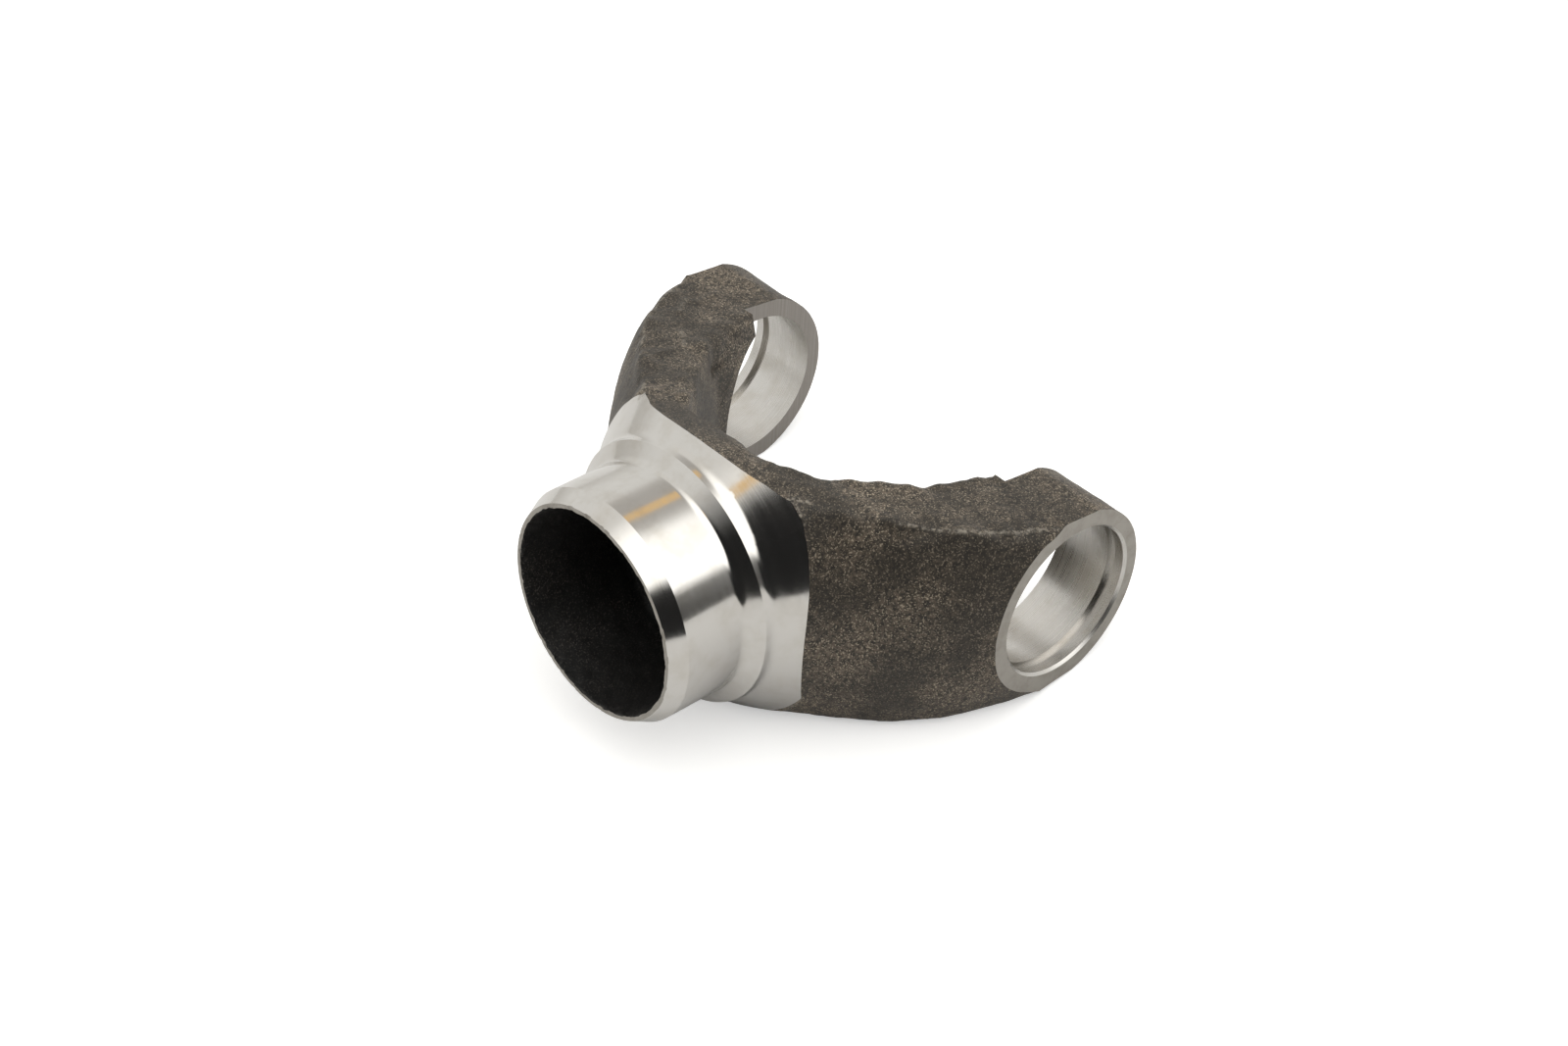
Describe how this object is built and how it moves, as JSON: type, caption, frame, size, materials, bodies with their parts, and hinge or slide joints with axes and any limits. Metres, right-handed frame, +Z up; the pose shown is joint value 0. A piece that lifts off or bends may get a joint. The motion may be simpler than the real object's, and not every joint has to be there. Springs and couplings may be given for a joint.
{
  "type": "weld yoke",
  "caption": "Forged weld yoke for a universal joint: turned tube seat on the nose, two arms with bored ears for a cross bearing.",
  "frame": {"origin": "cross centre: the bearing bore's axis where the tube axis meets it", "axes": "+X along the tube axis from the nose toward the ears, +Y along the bearing bore, +Z up as the part lies"},
  "size_m": [0.0867, 0.1002, 0.0548],
  "materials": {
    "forged_steel": "dark forging scale, with bright turned and bored faces"
  },
  "bodies": {
    "root": {"weld_yoke": "forged_steel"}
  },
  "joints": []
}
